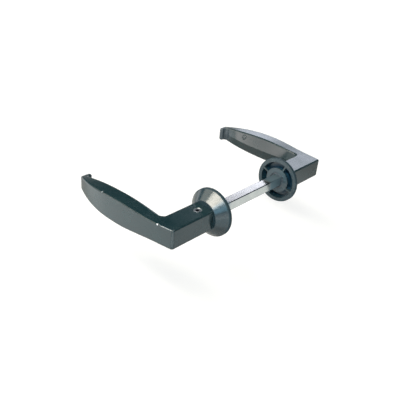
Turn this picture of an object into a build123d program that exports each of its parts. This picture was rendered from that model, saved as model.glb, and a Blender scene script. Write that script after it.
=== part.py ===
"""Lever handle set: two cast levers on one square spindle, with a moulded rose behind each lever.

Millimetres. +Z is up and the spindle lies along Y. The origin is on the spindle's axis, midway between the
two roses, in the middle of the door. The front lever is on the -Y side and both grips point to -X.
"""
import os
from math import sqrt

from build123d import *

# Spindle
SPINDLE_SIZE = 8.0
SPINDLE_LENGTH = 132.0
SPINDLE_EDGE = 0.4
SPINDLE_END_CHAMFER = 0.8

# Roses
ROSE_GAP = 85.0
ROSE_DIAMETER = 39.6
ROSE_RIM = 2.4
ROSE_DEPTH = 10.6
ROSE_NECK_DIAMETER = 25.4
ROSE_EDGE = 0.4
ROSE_BORE = 14.0
HUB_DIAMETER = 22.0
RIM_FACE_WIDTH = 3.4
POCKET_FLOOR = 5.0
CONE_WALL = 2.2
RIB_COUNT = 4
RIB_THICKNESS = 1.4
RIB_ANGLE = 66.0

# Lever neck
PROJECTION = 52.9
NECK_WIDTH = 19.0
NECK_HEIGHT = 16.4
NECK_RUNNING_GAP = 0.2
SPIGOT_RECESS = 1.0
SPIGOT_CLEARANCE = 0.08
SOCKET_CLEARANCE = 0.05
SOCKET_END_WALL = 5.0

# Lever grip
GRIP_LENGTH = 111.0
FACE_BULGE = 3.6
FACE_BULGE_AT = 34.5
SHOULDER_RISE = 4.4
SHOULDER_AT = 68.5
TIP_SET_BACK = 4.6
INNER_FACE_SET_BACK = 7.8
RIDGE_HEIGHT = 5.2
GRIP_HEIGHT = 21.0
GRIP_HEIGHT_AT = 55.5
FLARE_FROM = 14.0
TIP_HEIGHT = 11.6
TIP_RUN = 6.0
TIP_FALL = 1.0
LIP_THICKNESS = 4.2
LIP_REACH = 5.4
LIP_ROOT_RADIUS = 2.8
NECK_ROOT_RADIUS = 4.0
CORNER_ROUND = 2.4
LIP_ROUND = 1.6
EDGE_ROUND = 1.4
PLAN_MARGIN = 1.0

# Set screws
SCREW_DIAMETER = 6.0
SCREW_FROM_NECK_END = 7.2
SCREW_CLEARANCE = 0.05
SCREW_RECESS = 0.3
SCREW_HOLE_CHAMFER = 0.6
SCREW_EDGE = 0.4
HEX_SIZE = 3.0
HEX_DEPTH = 2.0

# Places along Y, on the rear side
RIM_Y = ROSE_GAP / 2
NECK_END_Y = RIM_Y + ROSE_DEPTH + NECK_RUNNING_GAP
SPIGOT_END_Y = RIM_Y + SPIGOT_RECESS
CORNER_Y = RIM_Y + PROJECTION
INNER_Y = CORNER_Y - INNER_FACE_SET_BACK
SOCKET_END_Y = CORNER_Y - SOCKET_END_WALL
SCREW_Y = NECK_END_Y + SCREW_FROM_NECK_END

# Places along X
NECK_X = NECK_WIDTH / 2
TIP_X = NECK_X - GRIP_LENGTH
LIP_X = TIP_X + LIP_THICKNESS


def spindle():
    """Square bar with chamfered ends and narrow flats along its four edges."""
    bar = Box(SPINDLE_SIZE, SPINDLE_LENGTH, SPINDLE_SIZE)
    bar = chamfer(bar.faces().filter_by(Axis.Y).edges(), SPINDLE_END_CHAMFER)
    across_edges = sqrt(2) * (SPINDLE_SIZE - SPINDLE_EDGE)
    return bar & Rot(0, 45, 0) * Box(across_edges, SPINDLE_LENGTH, across_edges)


def turned(points):
    """Solid of revolution about Y from (radius, y) points."""
    outline = make_face(Polyline(*points, close=True))
    return revolve(outline, Axis.Y)


def rose():
    """Hollow cone on the rear side: a thin rim on the door, a hub and radial ribs in its open back."""
    rim = ROSE_DIAMETER / 2
    small_end = ROSE_NECK_DIAMETER / 2
    hub = HUB_DIAMETER / 2
    top_y = RIM_Y + ROSE_DEPTH
    cone = turned([(0, RIM_Y), (rim, RIM_Y), (rim, RIM_Y + ROSE_RIM), (small_end, top_y), (0, top_y)])
    cone = fillet(cone.edges().filter_by(GeomType.CIRCLE), ROSE_EDGE)

    floor_y = top_y - POCKET_FLOOR
    cone_slope = (rim - small_end) / (ROSE_DEPTH - ROSE_RIM)
    pocket_floor_radius = small_end + POCKET_FLOOR * cone_slope - CONE_WALL
    pocket = turned([
        (hub, RIM_Y),
        (rim - RIM_FACE_WIDTH, RIM_Y),
        (pocket_floor_radius, floor_y),
        (hub, floor_y),
    ])
    rib = Pos(rim / 2, RIM_Y + ROSE_DEPTH / 2, 0) * Box(rim, ROSE_DEPTH, RIB_THICKNESS)
    for index in range(RIB_COUNT):
        pocket -= Rot(0, -RIB_ANGLE - index * 360 / RIB_COUNT, 0) * rib
    bore = Pos(0, RIM_Y + ROSE_DEPTH / 2, 0) * Rot(90, 0, 0) * Cylinder(ROSE_BORE / 2, 2 * ROSE_DEPTH)
    return cone - pocket - bore


def lever_plan(ridge_height):
    """The lever seen from above, with its inner side bowed towards the door by ridge_height."""
    neck_end_right = (NECK_X, NECK_END_Y)
    corner = (NECK_X, CORNER_Y)
    bulge = (NECK_X - FACE_BULGE_AT, CORNER_Y + FACE_BULGE)
    shoulder = (NECK_X - SHOULDER_AT, CORNER_Y + SHOULDER_RISE)
    tip = (TIP_X, CORNER_Y - TIP_SET_BACK)
    lip_y = INNER_Y - LIP_REACH
    lip_outer = (TIP_X, lip_y)
    lip_inner = (LIP_X, lip_y)
    lip_root = (LIP_X, INNER_Y)
    neck_root = (-NECK_X, INNER_Y)
    neck_end_left = (-NECK_X, NECK_END_Y)

    outer_face = ThreePointArc(corner, bulge, shoulder)
    tip_curve = TangentArc(shoulder, tip, tangent=outer_face % 1)
    if ridge_height:
        ridge_middle = ((LIP_X - NECK_X) / 2, INNER_Y - ridge_height)
        inner_side = ThreePointArc(lip_root, ridge_middle, neck_root)
    else:
        inner_side = Line(lip_root, neck_root)
    outline = make_face([
        Line(neck_end_right, corner),
        outer_face,
        tip_curve,
        Line(tip, lip_outer),
        Line(lip_outer, lip_inner),
        Line(lip_inner, lip_root),
        inner_side,
        Line(neck_root, neck_end_left),
        Line(neck_end_left, neck_end_right),
    ])
    rounds = [
        (corner, CORNER_ROUND),
        (tip, LIP_ROUND),
        (lip_outer, LIP_ROUND),
        (lip_inner, LIP_ROUND),
        (lip_root, LIP_ROOT_RADIUS),
        (neck_root, NECK_ROOT_RADIUS),
    ]
    for point, radius in rounds:
        outline = fillet(outline.vertices().sort_by_distance(point)[0], radius)
    return outline


def lever_elevation():
    """The lever seen from the front: level along the neck, deeper at mid-grip, low at the tip."""
    corner = (NECK_X, NECK_HEIGHT / 2)
    flare = (NECK_X - FLARE_FROM, NECK_HEIGHT / 2)
    deepest = (NECK_X - GRIP_HEIGHT_AT, GRIP_HEIGHT / 2)
    tip = (TIP_X, TIP_HEIGHT / 2)
    level = (-1, 0)
    half = make_face([
        Line(corner, flare),
        Spline(flare, deepest, tip, tangents=[level, level, (-TIP_RUN, -TIP_FALL)]),
        Line(tip, (TIP_X, 0)),
        Line((TIP_X, 0), (NECK_X, 0)),
        Line((NECK_X, 0), corner),
    ])
    return half + mirror(half, Plane.XZ)


def lever_blank():
    """The outside of the casting: two equal halves, flat above and below, that meet in a ridge inside."""
    level = Plane.XY.offset(GRIP_HEIGHT / 2 + PLAN_MARGIN)
    half = loft([lever_plan(RIDGE_HEIGHT), level * lever_plan(0)], ruled=True)
    half &= extrude(Plane.XZ * lever_elevation(), 2 * CORNER_Y, both=True)
    top = half.faces().filter_by(lambda face: face.normal_at().Z > 0.5)
    edges = top.edges()
    rim = [edge for edge in edges if edges.count(edge) == 1 and edge.center().Y > NECK_END_Y + EDGE_ROUND]
    half = fillet(rim, EDGE_ROUND)
    return half + mirror(half, Plane.XY)


def set_screw_hole():
    """Hole from the underside of the rear neck into the socket, chamfered at its mouth."""
    mouth_z = -NECK_HEIGHT / 2
    radius = SCREW_DIAMETER / 2
    chamfer_cone = Cone(radius + SCREW_HOLE_CHAMFER, radius, SCREW_HOLE_CHAMFER)
    hole = Pos(0, 0, mouth_z / 2) * Cylinder(radius, -mouth_z)
    hole += Pos(0, 0, mouth_z + SCREW_HOLE_CHAMFER / 2) * chamfer_cone
    return Pos(0, SCREW_Y, 0) * hole


def lever():
    """Rear lever: the casting with its spigot for the rose, its square socket and its screw hole."""
    spigot_radius = ROSE_BORE / 2 - SPIGOT_CLEARANCE
    spigot_length = NECK_END_Y - SPIGOT_END_Y
    spigot = Cylinder(spigot_radius, spigot_length)
    spigot = Pos(0, SPIGOT_END_Y + spigot_length / 2, 0) * Rot(90, 0, 0) * spigot
    socket_size = SPINDLE_SIZE + 2 * SOCKET_CLEARANCE
    socket_depth = SOCKET_END_Y - SPIGOT_END_Y
    socket = Pos(0, SPIGOT_END_Y + socket_depth / 2, 0) * Box(socket_size, socket_depth, socket_size)
    return lever_blank() + spigot - socket - set_screw_hole()


def set_screw():
    """Rear grub screw: its point just meets the spindle, its hex socket opens downwards."""
    point_z = -SPINDLE_SIZE / 2 - SCREW_CLEARANCE
    head_z = -NECK_HEIGHT / 2 + SCREW_RECESS
    length = point_z - head_z
    screw = Cylinder(SCREW_DIAMETER / 2 - SCREW_CLEARANCE, length)
    screw = chamfer(screw.edges().filter_by(GeomType.CIRCLE), SCREW_EDGE)
    hexagon = RegularPolygon(HEX_SIZE / 2, 6, major_radius=False)
    screw -= Pos(0, 0, -length / 2) * extrude(hexagon, HEX_DEPTH)
    return Pos(0, SCREW_Y, (point_z + head_z) / 2) * screw


def turned_over(piece):
    """The same piece on the front side, turned half round about X."""
    return Rot(180, 0, 0) * piece


nodes = {"spindle": spindle()}
for name, piece in [("lever", lever()), ("rose", rose()), ("set_screw", set_screw())]:
    nodes[name + "_rear"] = piece
    nodes[name + "_front"] = turned_over(piece)

os.makedirs("parts", exist_ok=True)
for name, solid in nodes.items():
    export_step(solid, f"parts/{name}.step")
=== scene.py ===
"""Finishes, studio and camera for the lever handle set. Metres, +Z up, spindle along Y, grips towards -X."""
from math import cos, pi, radians, sin

import bpy
from mathutils import Matrix, Vector

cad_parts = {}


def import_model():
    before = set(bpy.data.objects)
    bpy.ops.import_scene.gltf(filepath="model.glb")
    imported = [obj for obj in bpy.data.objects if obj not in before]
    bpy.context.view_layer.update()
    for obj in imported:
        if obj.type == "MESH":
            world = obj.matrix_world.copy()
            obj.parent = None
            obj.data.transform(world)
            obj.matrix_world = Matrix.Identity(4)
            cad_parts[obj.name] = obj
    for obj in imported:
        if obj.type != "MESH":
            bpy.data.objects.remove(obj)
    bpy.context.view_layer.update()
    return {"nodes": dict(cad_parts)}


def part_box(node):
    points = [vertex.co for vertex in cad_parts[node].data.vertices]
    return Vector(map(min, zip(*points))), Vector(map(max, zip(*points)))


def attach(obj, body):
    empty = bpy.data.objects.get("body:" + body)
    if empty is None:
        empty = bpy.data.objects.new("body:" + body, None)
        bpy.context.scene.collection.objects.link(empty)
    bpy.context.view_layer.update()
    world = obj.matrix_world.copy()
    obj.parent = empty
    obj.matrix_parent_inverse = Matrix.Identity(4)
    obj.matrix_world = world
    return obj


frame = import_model()

# Places on the rear side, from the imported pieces. The front pieces are the same, turned half round about X.
ROSE_BACK_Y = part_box("rose_rear")[0][1]
SCREW_LOW, SCREW_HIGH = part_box("set_screw_rear")
SCREW_Y = (SCREW_LOW[1] + SCREW_HIGH[1]) / 2
SCREW_FACE_Z = SCREW_LOW[2]

# Camera, from the photograph's viewing angle
CAMERA_AZIMUTH = radians(40.256)
CAMERA_ELEVATION = radians(28.909)
CAMERA_ROLL = radians(5.062)
CAMERA_PLACE = Vector((0.23214, -0.3327, 0.21432))
CAMERA_LENS = 49.923
CAMERA_SENSOR = 36.0

# Floor, low enough for the grips to turn above it
FLOOR_Z = -0.085
FLOOR_RADIUS = 4.0
FLOOR_SIDES = 96
FLOOR_COLOUR = (0.45, 0.45, 0.45, 1.0)
FLOOR_ROUGHNESS = 0.9
NEAR_FLOOR_GLOW = 0.63
NEAR_FLOOR_RADIUS = 0.25
FAR_FLOOR_GLOW = 1.0
FAR_FLOOR_RADIUS = 0.8

# Floor as the part mirrors it: bright in front, up to a slanted edge, and dimmer and bluer on the right
FRONT_TINT = (0.92, 0.98, 1.0, 1.0)
FRONT_GLOW = 1.05
FRONT_FULL_Y = -0.205
FRONT_END_Y = -0.13
FRONT_SLANT = 0.15
RIGHT_TINT = (0.74, 0.93, 1.0, 1.0)
RIGHT_GLOW = 0.53
RIGHT_START_X = 0.046
RIGHT_FULL_X = 0.096
RIGHT_FADE_Y = 0.165
RIGHT_END_Y = 0.28

# Backdrop: heights are the upward part of a direction one long
WHITE = (1.0, 1.0, 1.0, 1.0)
STUDIO_DARK = (0.03, 0.045, 0.05, 1.0)
BACKDROP_TOP = 0.10
BACKDROP_FADE = 0.17

# Lights: azimuth from +Y towards +X and elevation above the horizon, in degrees
LIGHTS = [
    {"name": "overhead", "azimuth": 0.0, "elevation": 72.0, "distance": 2.0,
     "width": 1.0, "height": 1.0, "radiance": 2.6, "colour": (1.0, 1.0, 1.0)},
    {"name": "key", "azimuth": 180.0, "elevation": 55.5, "distance": 2.0,
     "width": 1.9, "height": 0.58, "radiance": 12.0, "colour": (1.0, 0.95, 0.83)},
    {"name": "window", "azimuth": -30.0, "elevation": 19.6, "distance": 3.0,
     "width": 1.06, "height": 0.86, "radiance": 2.85, "colour": (0.84, 0.88, 1.0)},
    {"name": "left_panel", "azimuth": -113.0, "elevation": 37.0, "distance": 2.5,
     "width": 1.0, "height": 1.5, "radiance": 1.75, "colour": (1.0, 0.96, 0.83)},
    {"name": "warm_panel", "azimuth": -145.0, "elevation": 11.0, "distance": 2.5,
     "width": 1.6, "height": 1.0, "radiance": 3.2, "colour": (1.0, 0.91, 0.87)},
    {"name": "cool_fill_high", "azimuth": 146.0, "elevation": 40.0, "distance": 2.5,
     "width": 0.55, "height": 0.5, "radiance": 7.5, "colour": (0.72, 0.9, 1.0)},
    {"name": "cool_fill_low", "azimuth": 133.0, "elevation": 24.0, "distance": 2.5,
     "width": 0.5, "height": 0.85, "radiance": 3.3, "colour": (0.45, 0.78, 1.0)},
]

# Pin marks: place on the grip, and outline from the rim in, as radius and height
MARK_X = -0.0715
MARK_Z = 0.0053
MARK_OUTLINE = [(0.0026, -0.0005), (0.0026, 0.0), (0.0024, 0.00035), (0.0020, 0.0005), (0.0016, 0.00042),
                (0.0013, 0.0003), (0.0010, 0.0003)]
MARK_SIDES = 48

# Textures that the finishes share
GRAIN_DETAIL = 2.0
MOTTLE_DETAIL = 5.0
MOTTLE_SPAN = (0.3, 0.7)
NOISE_MIDDLE = 0.5
RAGGED_SCALE = 1400.0
RAGGED_DETAIL = 3.0
RAGGED_REACH = 3.0
PATCH_EDGE = 1.1

# Lever coating. Over the span of mottle, the first colour turns into the second.
COAT_BLACK = (0.006, 0.025, 0.031, 1.0)
COAT_WORN = (0.009, 0.031, 0.037, 1.0)
COAT_SPAN = (0.35, 0.7)
# Lighter grey: a painted reflection on the spigot ends, and over the far lever's tip
COAT_LIGHTENED = (0.075, 0.095, 0.115, 1.0)
# Colour of the chips, and of the painted highlights and sheen
BARE_ALUMINIUM_AND_HIGHLIGHT = (0.80, 0.87, 0.95, 1.0)
COAT_ROUGHNESS = (0.2, 0.29)
COAT_GLOSS = 0.35
COAT_GLOSS_ROUGHNESS = 0.13
COAT_GRAIN = 0.0007
COAT_MOTTLE = 0.016
COAT_BUMP = {"Strength": 0.25, "Distance": 0.00003}

# Lever patches: two chips and, along the near corner's top edge and upright edge, painted highlights on the
# near lever; painted sheen on the screw hole chamfers; painted reflection on the spigot ends; and a lighter
# grey far lever tip
NEAR_LEVER_CHIPS_AND_HIGHLIGHTS = [
    {"Centre": (-0.0048, -0.0970, 0.0084), "Half Size": (0.0009, 0.0011, 0.0011),
     "Raggedness": 0.35},
    {"Centre": (-0.0639, -0.0984, 0.0095), "Half Size": (0.0008, 0.0009, 0.0009),
     "Raggedness": 0.45, "Strength": 0.7},
    # Painted highlight along the top outer edge by the corner
    {"Centre": (0.0025, -0.0960, 0.0078), "Half Size": (0.0070, 0.0018, 0.00026),
     "Raggedness": 0.35, "Strength": 0.3},
    # Painted highlight on the upright corner edge
    {"Centre": (0.0088, -0.0947, 0.0), "Half Size": (0.0009, 0.0009, 0.008),
     "Raggedness": 0.3, "Strength": 0.07},
]
# Painted grey sheen on each screw hole's chamfer, which also takes the gloss away there
SCREW_HOLE_PAINTED_SHEEN = {"Centre": (0.0, SCREW_Y, SCREW_FACE_Z + 0.0002), "Half Size": (0.0040, 0.0040, 0.0006),
                  "Raggedness": 0.15, "Strength": 0.22}
# Painted reflection: lighter grey on the spigot ends
SPIGOT_END = {"Centre": (0.0, ROSE_BACK_Y + 0.001, 0.0), "Half Size": (0.009, 0.004, 0.009),
              "Raggedness": 0.1}
# Lighter grey over the far lever's tip
FAR_LEVER_TIP = {"Centre": (-0.1, 0.0845, 0.0), "Half Size": (0.016, 0.012, 0.012),
                 "Raggedness": 0.1, "Softness": 0.8, "Strength": 0.85}

# Rose plastic, polished inside one radius and matt outside the other
ROSE_BLACK = (0.010, 0.032, 0.045, 1.0)
ROSE_DUSTY = (0.014, 0.040, 0.053, 1.0)
ROSE_SPAN = (0.4, 0.75)
# Painted bluish light in the recess
RECESS_PAINTED_LIGHT = (0.004, 0.045, 0.085, 1.0)
# Painted grey reflection on the back and the hub
HUB_PAINTED_REFLECTION = (0.052, 0.084, 0.104, 1.0)
ROSE_ROUGHNESS = (0.2, 0.3)
ROSE_GLOSS = 0.9
ROSE_GLOSS_ROUGHNESS = 0.2
ROSE_GRAIN = 0.0009
ROSE_MOTTLE = 0.008
ROSE_BUMP = {"Strength": 0.15, "Distance": 0.00002}
MATT_ROUGHNESS = 0.35
POLISHED_RADIUS = 0.0191
MATT_RIM_RADIUS = 0.0195

# Rose patches: painted bluish light in the recess, and a painted grey reflection on the back and the hub
ROSE_RECESS = {"Centre": (0.0, ROSE_BACK_Y + 0.004, 0.0), "Half Size": (0.0158, 0.0035, 0.0158),
               "Raggedness": 0.1}
ROSE_BACK = {"Centre": (0.0, ROSE_BACK_Y, 0.0), "Half Size": (0.0215, 0.0006, 0.0215),
             "Raggedness": 0.05, "Strength": 0.3}
ROSE_HUB = {"Centre": (0.0, ROSE_BACK_Y, 0.0), "Half Size": (0.0118, 0.002, 0.0118),
            "Raggedness": 0.1, "Strength": 0.8}

# Spindle plating: lines drawn along the bar, a painted dark reflection line on each of its edges, and rougher
# ends painted with a teal reflection
ZINC_BRIGHT = (0.69, 0.665, 0.635, 1.0)
ZINC_DULL = (0.605, 0.585, 0.56, 1.0)
ZINC_SPAN = (0.35, 0.7)
# Painted dark reflection line along the bar's edges
ZINC_EDGE_PAINTED_DARK = (0.2, 0.205, 0.23, 1.0)
# Painted teal reflection on the ends, where they enter the roses
ZINC_END_PAINTED_REFLECTION = (0.265, 0.365, 0.415, 1.0)
ZINC_ROUGHNESS = (0.16, 0.28)
ZINC_GRAIN = 0.0005
ZINC_MOTTLE = 0.01
ZINC_BUMP = {"Strength": 0.2, "Distance": 0.00002}
DRAWN_STRETCH = (1.0, 0.02, 1.0)
DRAWN_SCALE = 3000.0
DRAWN_DETAIL = 4.0
GRAIN_IN_LINES = 0.3
EDGE_LINE_START = 0.0072
EDGE_LINE_FULL = 0.0075
DULL_END_START_Y = 0.024
DULL_END_FULL_Y = 0.030
DULL_END_ROUGHNESS = 0.3

# Screw steel, with painted shade in the hex socket
SCREW_STEEL = (0.34, 0.36, 0.41, 1.0)
SCREW_OILED = (0.25, 0.265, 0.30, 1.0)
# Painted shade in the hex socket
SOCKET_PAINTED_SHADE = (0.02, 0.022, 0.025, 1.0)
SCREW_ROUGHNESS = (0.5, 0.65)
SCREW_GRAIN = 0.0004
SCREW_MOTTLE = 0.002
SCREW_BUMP = {"Strength": 0.3, "Distance": 0.00003}
SCREW_SOCKET = {"Centre": (0.0, SCREW_Y, SCREW_FACE_Z + 0.0017), "Half Size": (0.0022, 0.0022, 0.0016),
                "Raggedness": 0.1}


def give(tree, socket, value):
    """Links another node's output to a socket, or sets the socket to a plain value."""
    if isinstance(value, bpy.types.NodeSocket):
        tree.links.new(value, socket)
    else:
        socket.default_value = value


def put(tree, kind, inputs=None, **settings):
    """Adds a node. inputs gives each socket, by name or number, a value or another node's output."""
    made = tree.nodes.new(kind)
    for name, value in settings.items():
        setattr(made, name, value)
    for key, value in (inputs or {}).items():
        give(tree, made.inputs[key], value)
    return made


def math(tree, operation, *values):
    """One number worked out from others."""
    return put(tree, "ShaderNodeMath", dict(enumerate(values)), operation=operation).outputs[0]


def vector_math(tree, operation, first, second):
    """One vector worked out from two others."""
    return put(tree, "ShaderNodeVectorMath", {0: first, 1: second}, operation=operation).outputs[0]


def length(tree, vector):
    """How long a vector is."""
    return put(tree, "ShaderNodeVectorMath", {0: vector}, operation="LENGTH").outputs["Value"]


def split_axes(tree, vector):
    """A vector's X, Y and Z."""
    return put(tree, "ShaderNodeSeparateXYZ", {0: vector}).outputs


def own_place(tree):
    """A point's place on its own piece, which stays the same when the piece moves."""
    return put(tree, "ShaderNodeTexCoord").outputs["Object"]


def remap(tree, value, low, high, to_low=0.0, to_high=1.0):
    """Value between low and high, spread smoothly from to_low to to_high."""
    sockets = {"Value": value, "From Min": low, "From Max": high, "To Min": to_low, "To Max": to_high}
    return put(tree, "ShaderNodeMapRange", sockets, interpolation_type="SMOOTHSTEP").outputs["Result"]


def blend_colours(tree, share, first, second):
    """First colour where share is 0, second where it is 1."""
    made = put(tree, "ShaderNodeMix", data_type="RGBA")
    for name, value in (("Factor_Float", share), ("A_Color", first), ("B_Color", second)):
        give(tree, next(s for s in made.inputs if s.identifier == name), value)
    return next(s for s in made.outputs if s.identifier == "Result_Color")


def bumped(tree, height, bump):
    """The normal of a surface with that height, at the finish's bump strength and distance."""
    return put(tree, "ShaderNodeBump", {"Height": height, **bump}).outputs["Normal"]


def new_group(name, inputs, outputs):
    """An empty shader node group with named sockets, and the sockets of its input and output nodes."""
    tree = bpy.data.node_groups.new(name, "ShaderNodeTree")
    for label, kind, value in inputs:
        tree.interface.new_socket(label, in_out="INPUT", socket_type=kind).default_value = value
    for label in outputs:
        tree.interface.new_socket(label, in_out="OUTPUT", socket_type="NodeSocketFloat")
    return tree, tree.nodes.new("NodeGroupInput").outputs, tree.nodes.new("NodeGroupOutput").inputs


def fine_texture_group():
    """Fine grain for bump and a cloudy mottle for colour and gloss, both fixed to the piece."""
    tree, given, result = new_group(
        "Fine texture",
        [("Grain Size", "NodeSocketFloat", 0.0006), ("Mottle Size", "NodeSocketFloat", 0.012)],
        ["Grain", "Mottle"])
    place = own_place(tree)
    for label, detail in (("Grain", GRAIN_DETAIL), ("Mottle", MOTTLE_DETAIL)):
        scale = math(tree, "DIVIDE", 1.0, given[label + " Size"])
        noise = put(tree, "ShaderNodeTexNoise", {"Vector": place, "Scale": scale, "Detail": detail})
        tree.links.new(noise.outputs["Fac"], result[label])
    return tree


def worn_spot_group():
    """A ragged patch round one point, longer along some axes than others."""
    tree, given, result = new_group(
        "Worn spot",
        [("Centre", "NodeSocketVector", (0.0, 0.0, 0.0)),
         ("Half Size", "NodeSocketVector", (0.001, 0.001, 0.001)),
         ("Raggedness", "NodeSocketFloat", 0.5),
         ("Softness", "NodeSocketFloat", 0.3),
         ("Strength", "NodeSocketFloat", 1.0)],
        ["Mask"])
    place = own_place(tree)
    offset = vector_math(tree, "SUBTRACT", place, given["Centre"])
    distance = length(tree, vector_math(tree, "DIVIDE", offset, given["Half Size"]))
    noise = put(tree, "ShaderNodeTexNoise", {"Vector": place, "Scale": RAGGED_SCALE, "Detail": RAGGED_DETAIL})
    swing = math(tree, "SUBTRACT", noise.outputs["Fac"], NOISE_MIDDLE)
    reach = math(tree, "MULTIPLY", given["Raggedness"], RAGGED_REACH)
    ragged = math(tree, "MULTIPLY_ADD", swing, reach, distance)
    full_inside = math(tree, "SUBTRACT", PATCH_EDGE, given["Softness"])
    patch = remap(tree, ragged, full_inside, PATCH_EDGE, 1.0, 0.0)
    tree.links.new(math(tree, "MULTIPLY", patch, given["Strength"]), result["Mask"])
    return tree


def new_material(name):
    """A material, its tree and its Principled shader."""
    material = bpy.data.materials.new(name)
    material.use_nodes = True
    tree = material.node_tree
    tree.nodes.clear()
    shader = put(tree, "ShaderNodeBsdfPrincipled")
    put(tree, "ShaderNodeOutputMaterial", {"Surface": shader.outputs["BSDF"]})
    return material, tree, shader


def feed(tree, shader, **sockets):
    """Links or sets the shader's sockets, written with _ for a space."""
    for name, value in sockets.items():
        give(tree, shader.inputs[name.replace("_", " ")], value)


def textured(tree, group, grain_size, mottle_size):
    """The grain and mottle of one material."""
    sizes = {"Grain Size": grain_size, "Mottle Size": mottle_size}
    made = put(tree, "ShaderNodeGroup", sizes, node_tree=group).outputs
    return made["Grain"], made["Mottle"]


def both_sides(patch):
    """A patch of the rear pieces and the same one on the front pieces, turned half round about X."""
    x, y, z = patch["Centre"]
    return [patch, {**patch, "Centre": (x, -y, -z)}]


def strongest(tree, group, patches):
    """How strong the strongest of the patches is at each point."""
    masks = [put(tree, "ShaderNodeGroup", patch, node_tree=group).outputs["Mask"] for patch in patches]
    most = masks[0]
    for mask in masks[1:]:
        most = math(tree, "MAXIMUM", most, mask)
    return most


def lever_coat(textures, worn_spot):
    """Satin black coating on cast aluminium, chipped to the metal in two places, with painted highlights on
    the near corner's edges, painted sheen on the screw hole chamfers, a painted reflection on the spigot ends
    and a lighter grey far tip.
    """
    material, tree, shader = new_material("lever_coat")
    grain, mottle = textured(tree, textures, COAT_GRAIN, COAT_MOTTLE)
    # Chips to the aluminium, and painted highlights and sheen, which also take the gloss away
    bare_and_highlight = strongest(tree, worn_spot, NEAR_LEVER_CHIPS_AND_HIGHLIGHTS + both_sides(SCREW_HOLE_PAINTED_SHEEN))
    lightened = strongest(tree, worn_spot, both_sides(SPIGOT_END) + [FAR_LEVER_TIP])
    coat = blend_colours(tree, remap(tree, mottle, *COAT_SPAN), COAT_BLACK, COAT_WORN)
    # Lighter grey: a painted reflection on the spigot ends, and over the far lever's tip
    coat = blend_colours(tree, lightened, coat, COAT_LIGHTENED)
    feed(tree, shader,
         Base_Color=blend_colours(tree, bare_and_highlight, coat, BARE_ALUMINIUM_AND_HIGHLIGHT),
         Metallic=bare_and_highlight,
         Roughness=remap(tree, mottle, *MOTTLE_SPAN, *COAT_ROUGHNESS),
         Normal=bumped(tree, grain, COAT_BUMP),
         Coat_Weight=math(tree, "MULTIPLY_ADD", bare_and_highlight, -COAT_GLOSS, COAT_GLOSS),
         Coat_Roughness=COAT_GLOSS_ROUGHNESS)
    return material


def rose_plastic(textures, worn_spot):
    """Black moulding, polished on the cone, matt on the rim and in the recess, with painted bluish light in
    the recess and a painted grey reflection on the back.
    """
    material, tree, shader = new_material("rose_plastic")
    grain, mottle = textured(tree, textures, ROSE_GRAIN, ROSE_MOTTLE)
    across_axis = (1.0, 0.0, 1.0)
    radius = length(tree, vector_math(tree, "MULTIPLY", own_place(tree), across_axis))
    recess = strongest(tree, worn_spot, both_sides(ROSE_RECESS))
    lightened = strongest(tree, worn_spot, both_sides(ROSE_BACK) + both_sides(ROSE_HUB))
    matt = math(tree, "MAXIMUM", recess, remap(tree, radius, POLISHED_RADIUS, MATT_RIM_RADIUS))
    black = blend_colours(tree, remap(tree, mottle, *ROSE_SPAN), ROSE_BLACK, ROSE_DUSTY)
    # Painted bluish light in the recess
    black = blend_colours(tree, recess, black, RECESS_PAINTED_LIGHT)
    polished = remap(tree, mottle, *MOTTLE_SPAN, *ROSE_ROUGHNESS)
    feed(tree, shader,
         # Painted grey reflection on the back and the hub
         Base_Color=blend_colours(tree, lightened, black, HUB_PAINTED_REFLECTION),
         Roughness=math(tree, "MULTIPLY_ADD", matt, MATT_ROUGHNESS, polished),
         Normal=bumped(tree, grain, ROSE_BUMP),
         Coat_Weight=math(tree, "MULTIPLY_ADD", matt, -ROSE_GLOSS, ROSE_GLOSS),
         Coat_Roughness=ROSE_GLOSS_ROUGHNESS)
    return material


def spindle_metal(textures):
    """Bright plated bar with faint lines drawn along its length, painted dark reflection lines on its edges
    and rougher ends painted with a teal reflection.
    """
    material, tree, shader = new_material("spindle_metal")
    grain, mottle = textured(tree, textures, ZINC_GRAIN, ZINC_MOTTLE)
    place = own_place(tree)
    drawn = put(tree, "ShaderNodeMapping", {"Vector": place, "Scale": DRAWN_STRETCH}).outputs["Vector"]
    noise = put(tree, "ShaderNodeTexNoise", {"Vector": drawn, "Scale": DRAWN_SCALE, "Detail": DRAWN_DETAIL})
    lines = noise.outputs["Fac"]
    height = math(tree, "MULTIPLY_ADD", grain, GRAIN_IN_LINES, lines)
    from_middle = [math(tree, "ABSOLUTE", axis) for axis in split_axes(tree, place)]
    across_corner = math(tree, "ADD", from_middle[0], from_middle[2])
    edge = remap(tree, across_corner, EDGE_LINE_START, EDGE_LINE_FULL)
    end = remap(tree, from_middle[1], DULL_END_START_Y, DULL_END_FULL_Y)
    zinc = blend_colours(tree, remap(tree, mottle, *ZINC_SPAN), ZINC_BRIGHT, ZINC_DULL)
    # Painted dark reflection line along the bar's edges
    zinc = blend_colours(tree, edge, zinc, ZINC_EDGE_PAINTED_DARK)
    polished = remap(tree, lines, *MOTTLE_SPAN, *ZINC_ROUGHNESS)
    feed(tree, shader,
         # Painted teal reflection on the ends, which are also rougher
         Base_Color=blend_colours(tree, end, zinc, ZINC_END_PAINTED_REFLECTION),
         Metallic=1.0,
         Roughness=math(tree, "MULTIPLY_ADD", end, DULL_END_ROUGHNESS, polished),
         Normal=bumped(tree, height, ZINC_BUMP))
    return material


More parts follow.
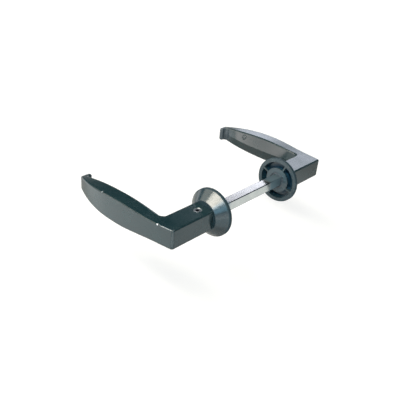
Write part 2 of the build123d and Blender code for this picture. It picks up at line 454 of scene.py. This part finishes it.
def screw_steel(textures, worn_spot):
    """Steel with patches of oil, and painted shade in the hex socket."""
    material, tree, shader = new_material("screw_steel")
    grain, mottle = textured(tree, textures, SCREW_GRAIN, SCREW_MOTTLE)
    socket = strongest(tree, worn_spot, both_sides(SCREW_SOCKET))
    steel = blend_colours(tree, remap(tree, mottle, *MOTTLE_SPAN), SCREW_STEEL, SCREW_OILED)
    feed(tree, shader,
         # Painted shade in the hex socket
         Base_Color=blend_colours(tree, socket, steel, SOCKET_PAINTED_SHADE),
         Metallic=1.0,
         Roughness=remap(tree, mottle, *MOTTLE_SPAN, *SCREW_ROUGHNESS),
         Normal=bumped(tree, grain, SCREW_BUMP))
    return material


def pin_marks(coat):
    """Low round marks on the inner side of each grip, left by the pins that push a casting from its mould."""
    bpy.context.view_layer.update()
    angles = [2 * pi * step / MARK_SIDES for step in range(MARK_SIDES)]
    points = [(radius * cos(a), radius * sin(a), rise) for radius, rise in MARK_OUTLINE for a in angles]
    faces = [range(len(points) - MARK_SIDES, len(points)), range(MARK_SIDES - 1, -1, -1)]
    for ring in range(len(MARK_OUTLINE) - 1):
        low = ring * MARK_SIDES
        high = low + MARK_SIDES
        for step in range(MARK_SIDES):
            after = (step + 1) % MARK_SIDES
            faces.append([low + step, low + after, high + after, high + step])
    for side, name in ((1, "rear"), (-1, "front")):
        start = Vector((MARK_X, 0.0, side * MARK_Z))
        _, place, normal, _ = frame["nodes"]["lever_" + name].ray_cast(start, Vector((0.0, side, 0.0)))
        mesh = bpy.data.meshes.new("pin_mark_" + name)
        mesh.from_pydata(points, [], faces)
        mesh.shade_smooth()
        mesh.materials.append(coat)
        mark = bpy.data.objects.new("pin_mark_" + name, mesh)
        bpy.context.collection.objects.link(mark)
        mark.location = place
        mark.rotation_euler = normal.to_track_quat("Z", "Y").to_euler()
        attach(mark, name + "_lever")


def dress_nodes():
    """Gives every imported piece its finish, and each lever its pin mark."""
    textures = fine_texture_group()
    worn_spot = worn_spot_group()
    finishes = {
        "lever": lever_coat(textures, worn_spot),
        "rose": rose_plastic(textures, worn_spot),
        "set_screw": screw_steel(textures, worn_spot),
        "spindle": spindle_metal(textures),
    }
    for name, obj in frame["nodes"].items():
        kind = name.removesuffix("_front").removesuffix("_rear")
        obj.data.materials.clear()
        obj.data.materials.append(finishes[kind])
    pin_marks(finishes["lever"])


def seen_straight(tree):
    """1 for a ray from the camera or through glass, 0 for the rest."""
    rays = put(tree, "ShaderNodeLightPath").outputs
    return math(tree, "MAXIMUM", rays["Is Camera Ray"], rays["Is Transmission Ray"])


def floor_glow(tree):
    """The floor's glow: all over where seen straight, in front and on the right where mirrored."""
    straight = seen_straight(tree)
    glossy = put(tree, "ShaderNodeLightPath").outputs["Is Glossy Ray"]
    place = own_place(tree)
    axes = split_axes(tree, place)
    slanted_y = math(tree, "MULTIPLY_ADD", axes["X"], FRONT_SLANT, axes["Y"])
    front = remap(tree, slanted_y, FRONT_FULL_Y, FRONT_END_Y, FRONT_GLOW, 0.0)
    right = remap(tree, axes["X"], RIGHT_START_X, RIGHT_FULL_X, 0.0, RIGHT_GLOW)
    right = math(tree, "MULTIPLY", right, remap(tree, axes["Y"], RIGHT_FADE_Y, RIGHT_END_Y, 1.0, 0.0))
    mirrored = math(tree, "MULTIPLY", glossy, math(tree, "MAXIMUM", front, right))
    tint = blend_colours(tree, math(tree, "GREATER_THAN", right, front), FRONT_TINT, RIGHT_TINT)
    colour = blend_colours(tree, straight, tint, WHITE)
    distance = length(tree, place)
    spread = remap(tree, distance, NEAR_FLOOR_RADIUS, FAR_FLOOR_RADIUS, NEAR_FLOOR_GLOW, FAR_FLOOR_GLOW)
    return colour, math(tree, "MULTIPLY_ADD", straight, spread, mirrored)


def floor():
    """Wide pale disc below the part that glows enough to show white and still takes the shadow."""
    bpy.ops.mesh.primitive_circle_add(
        vertices=FLOOR_SIDES, radius=FLOOR_RADIUS, fill_type="NGON", location=(0.0, 0.0, FLOOR_Z))
    disc = bpy.context.object
    disc.name = "floor"
    material, tree, shader = new_material("floor_paper")
    glow_colour, glow = floor_glow(tree)
    feed(tree, shader,
         Base_Color=FLOOR_COLOUR,
         Roughness=FLOOR_ROUGHNESS,
         Specular_IOR_Level=0.0,
         Emission_Color=glow_colour,
         Emission_Strength=glow)
    disc.data.materials.append(material)


def world():
    """White low backdrop all round under a dark studio, and white wherever it is seen straight."""
    made = bpy.data.worlds.new("studio")
    bpy.context.scene.world = made
    made.use_nodes = True
    tree = made.node_tree
    tree.nodes.clear()
    direction = put(tree, "ShaderNodeTexCoord").outputs["Generated"]
    above = remap(tree, split_axes(tree, direction)["Z"], BACKDROP_TOP, BACKDROP_TOP + BACKDROP_FADE)
    dark = math(tree, "MULTIPLY", above, math(tree, "SUBTRACT", 1.0, seen_straight(tree)))
    colour = blend_colours(tree, dark, WHITE, STUDIO_DARK)
    shader = put(tree, "ShaderNodeBackground", {"Color": colour, "Strength": 1.0})
    put(tree, "ShaderNodeOutputWorld", {"Surface": shader.outputs[0]})


def soft_box(name, azimuth, elevation, distance, width, height, radiance, colour):
    """Area light that faces the part."""
    lamp = bpy.data.lights.new(name, "AREA")
    lamp.shape = "RECTANGLE"
    lamp.size = width
    lamp.size_y = height
    lamp.color = colour
    lamp.energy = radiance * pi * width * height
    obj = bpy.data.objects.new(name, lamp)
    bpy.context.collection.objects.link(obj)
    turn = radians(azimuth)
    rise = radians(elevation)
    out = Vector((sin(turn) * cos(rise), cos(turn) * cos(rise), sin(rise)))
    obj.location = out * distance
    obj.rotation_euler = out.to_track_quat("Z", "Y").to_euler()


def lights():
    """All the lights of the studio."""
    for light in LIGHTS:
        soft_box(**light)


def camera():
    """Camera at the photograph's viewing angle, tilted as the photograph is."""
    level_right = Vector((cos(CAMERA_AZIMUTH), sin(CAMERA_AZIMUTH), 0.0))
    back = Vector((sin(CAMERA_AZIMUTH) * cos(CAMERA_ELEVATION),
                   -cos(CAMERA_AZIMUTH) * cos(CAMERA_ELEVATION),
                   sin(CAMERA_ELEVATION)))
    level_up = back.cross(level_right)
    right = cos(CAMERA_ROLL) * level_right + sin(CAMERA_ROLL) * level_up
    up = cos(CAMERA_ROLL) * level_up - sin(CAMERA_ROLL) * level_right
    data = bpy.data.cameras.new("camera")
    data.lens = CAMERA_LENS
    data.sensor_width = CAMERA_SENSOR
    obj = bpy.data.objects.new("camera", data)
    bpy.context.collection.objects.link(obj)
    turn = Matrix((right, up, back)).transposed().to_4x4()
    obj.matrix_world = Matrix.Translation(CAMERA_PLACE) @ turn
    bpy.context.scene.camera = obj


dress_nodes()
floor()
world()
lights()
camera()
bpy.context.scene.view_settings.view_transform = "Standard"
